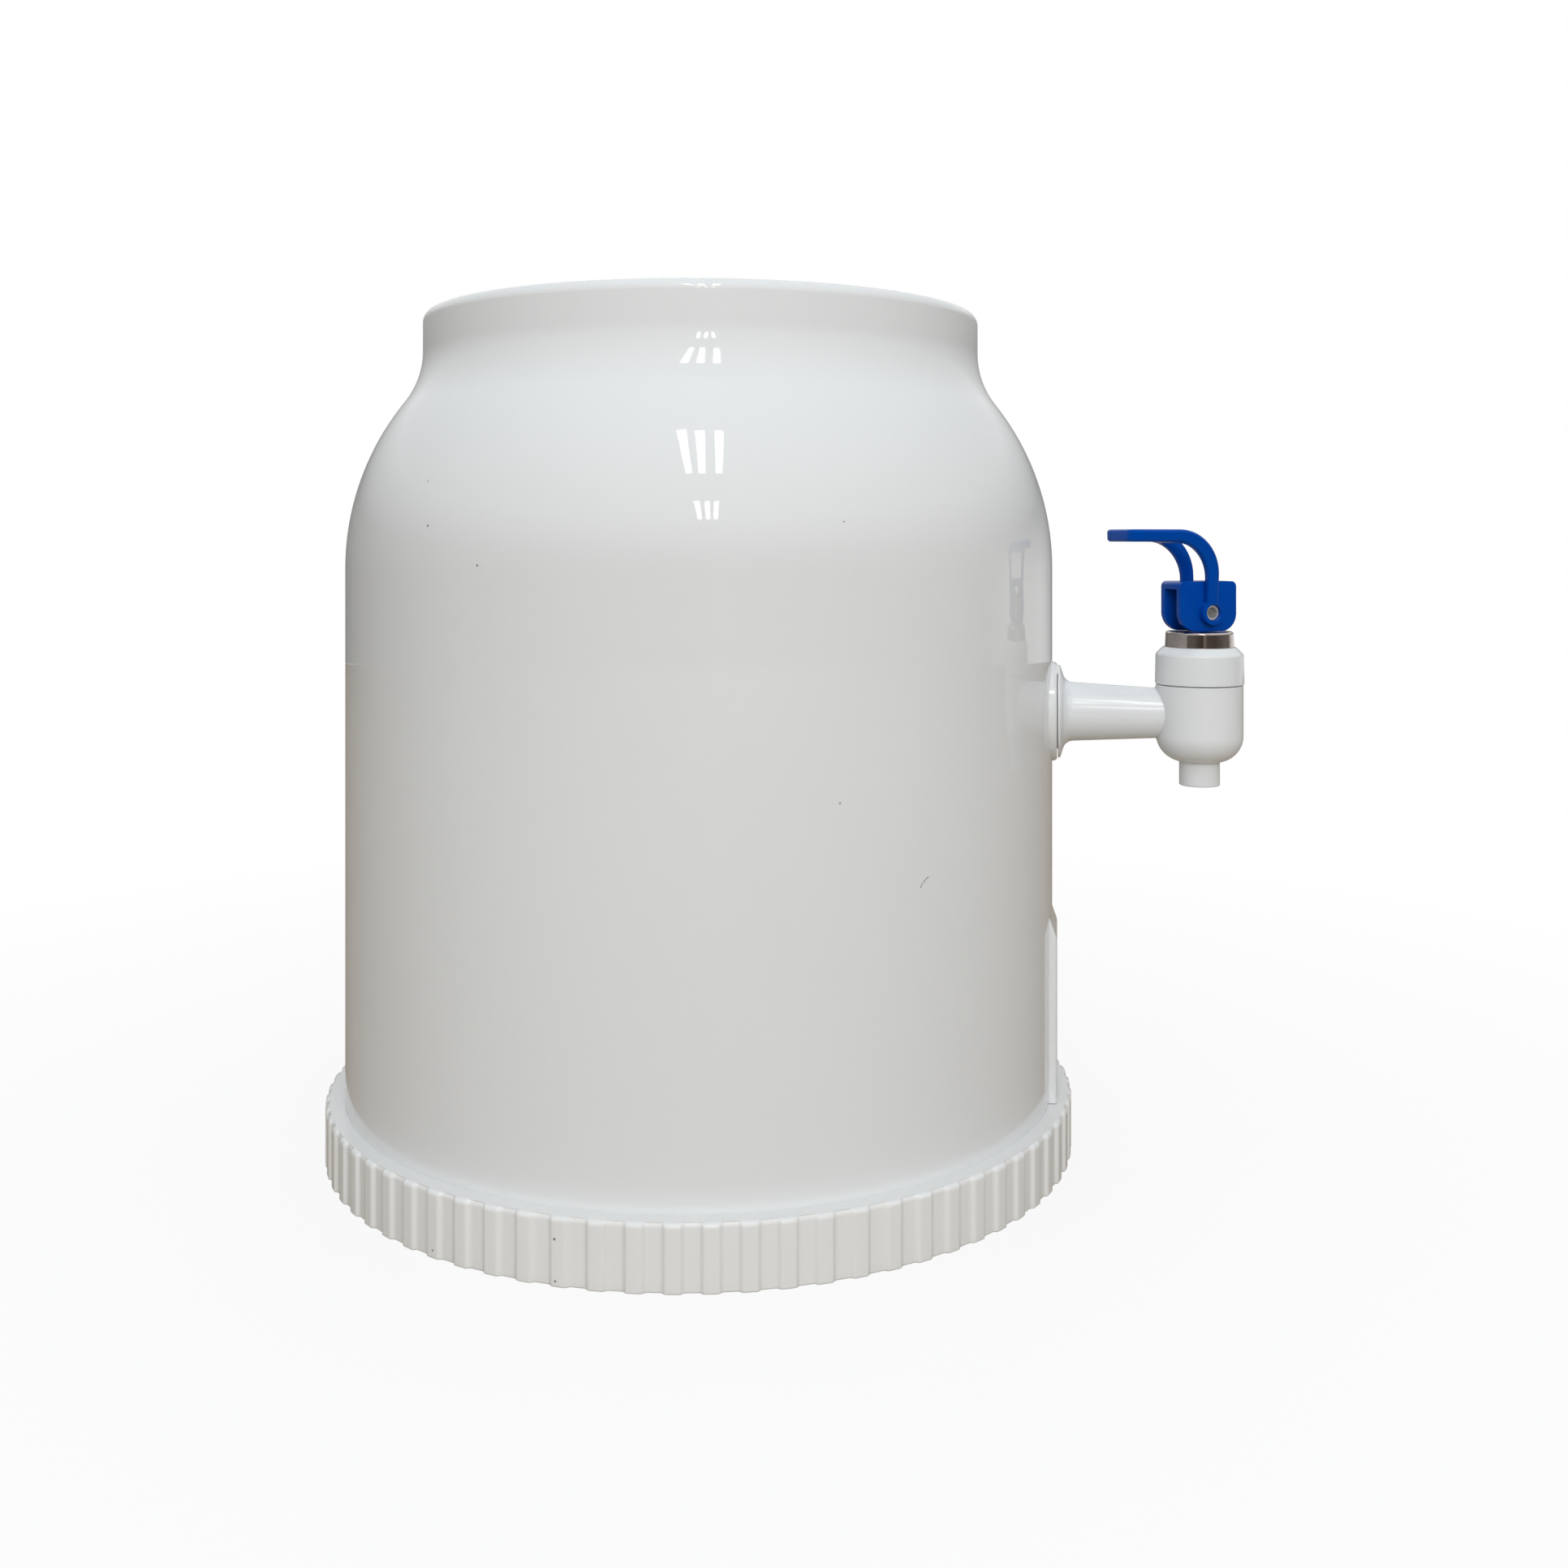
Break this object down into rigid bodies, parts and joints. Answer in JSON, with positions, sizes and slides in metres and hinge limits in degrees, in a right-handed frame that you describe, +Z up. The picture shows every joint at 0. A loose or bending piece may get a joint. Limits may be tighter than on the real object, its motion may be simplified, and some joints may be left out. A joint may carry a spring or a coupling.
{
  "type": "water dispenser",
  "caption": "Countertop water dispenser: a white barrel on a ribbed foot, an open neck that takes an inverted bottle, and a tap worked by a blue lever.",
  "frame": {"origin": "barrel axis at the counter, the bottom of the foot", "axes": "+Z up along the barrel, +X along the tap's tube, +Y to the tap's left when it is seen from the barrel"},
  "size_m": [0.347, 0.284, 0.3143],
  "materials": {
    "shell_white": "glossy moulded",
    "foot_white": "satin moulded",
    "tank_white": "food-grade moulded",
    "tap_white": "glossy moulded",
    "sleeve_grey": "moulded",
    "washer_rubber": "soft",
    "ring_chrome": "bright plated",
    "plate_blue": "glossy moulded",
    "lever_blue": "glossy moulded",
    "pin_steel": "drawn tube",
    "stem_grey": "moulded",
    "spring_steel": "drawn wire",
    "cup_silicone": "soft"
  },
  "bodies": {
    "housing": {"outer_shell": "shell_white", "base_cap": "foot_white", "water_tank": "tank_white", "spacer_sleeve": "sleeve_grey", "tap_outer_washer": "washer_rubber", "tank_outer_washer": "washer_rubber", "tank_inner_washer": "washer_rubber", "tap_nut": "tap_white", "tap_body": "tap_white", "tap_bonnet": "tap_white", "trim_ring": "ring_chrome", "thrust_washer": "sleeve_grey", "stem_spring": "spring_steel", "seat_cup": "cup_silicone"},
    "turntable": {"cam_plate": "plate_blue"},
    "stem": {"stem": "stem_grey"},
    "lever": {"lever": "lever_blue", "lever_pin": "pin_steel"}
  },
  "joints": [
    {"name": "lever_swivel", "type": "hinge", "parent": "housing", "child": "turntable", "pos_m": [0.1889, 0, 0.1925], "axis": [0, 0, 1], "continuous": true},
    {"name": "stem_lift", "type": "slide", "parent": "turntable", "child": "stem", "axis": [0, 0, 1], "range_m": [0, 0.0028], "deforming": ["stem_spring", "seat_cup"]},
    {"name": "lever_tilt", "type": "hinge", "parent": "stem", "child": "lever", "pos_m": [0.1889, 0, 0.2018], "axis": [0.4848, -0.8746, 0], "range_deg": [0, 30], "stiffness_Nm_per_rad": 0.25, "springref_deg": -22.92}
  ],
  "couplings": [
    {"joint": "stem_lift", "follows": "lever_tilt", "m_per_rad": 0.0053}
  ]
}
